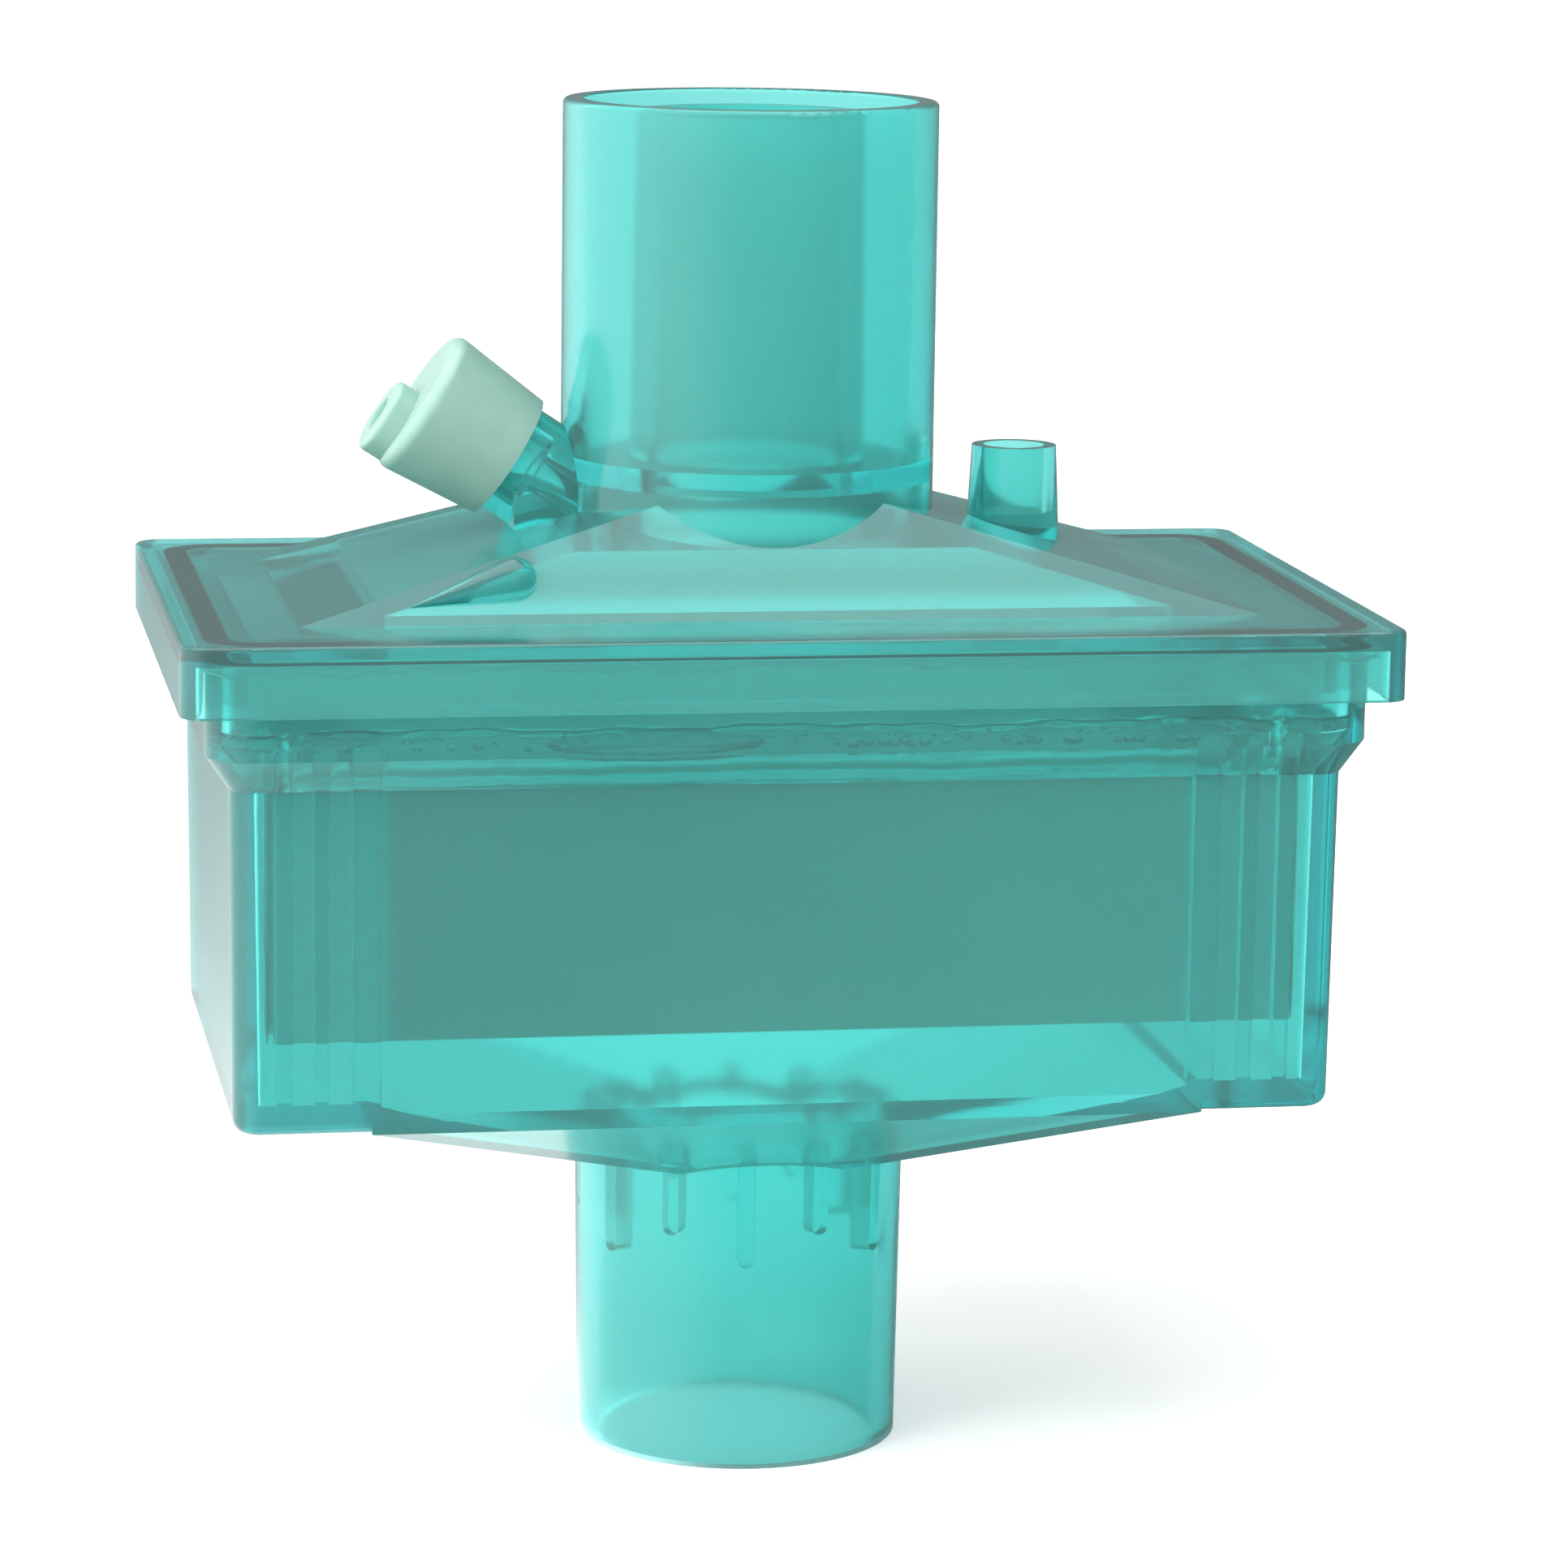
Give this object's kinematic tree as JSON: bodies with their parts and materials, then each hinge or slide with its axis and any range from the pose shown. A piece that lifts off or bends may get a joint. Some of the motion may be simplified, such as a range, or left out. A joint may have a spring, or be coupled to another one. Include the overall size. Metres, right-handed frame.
{
  "type": "breathing circuit filter",
  "caption": "Rectangular clear breathing circuit filter with a pleated sheet inside, a cone port below, a double cone socket above and a capped sampling port on its sloping roof.",
  "frame": {"origin": "centre of the lower port's end face, on which the filter stands", "axes": "+Z along both ports, from the lower port to the upper port; X along the housing's long side, with the sampling port towards -X; -Y is the front"},
  "size_m": [0.0792, 0.049, 0.0912],
  "materials": {
    "clear_teal_plastic": "tinted clear styrene copolymer, moulded, glossy",
    "cap_plastic": "milky polyethylene, moulded, satin",
    "filter_sheet": "pleated glass-fibre filter paper, matt",
    "potting": "poured clear adhesive with bubbles"
  },
  "bodies": {
    "filter_body": {"lower_housing": "clear_teal_plastic", "upper_housing": "clear_teal_plastic", "filter_media": "filter_sheet", "end_seal_left": "potting", "end_seal_right": "potting", "seal_bead": "potting"},
    "cap": {"luer_cap": "cap_plastic"}
  },
  "joints": [
    {"name": "cap_pull", "type": "slide", "parent": "filter_body", "child": "cap", "axis": [-0.8406, 0, 0.5417], "range_m": [0, 0.012]}
  ]
}
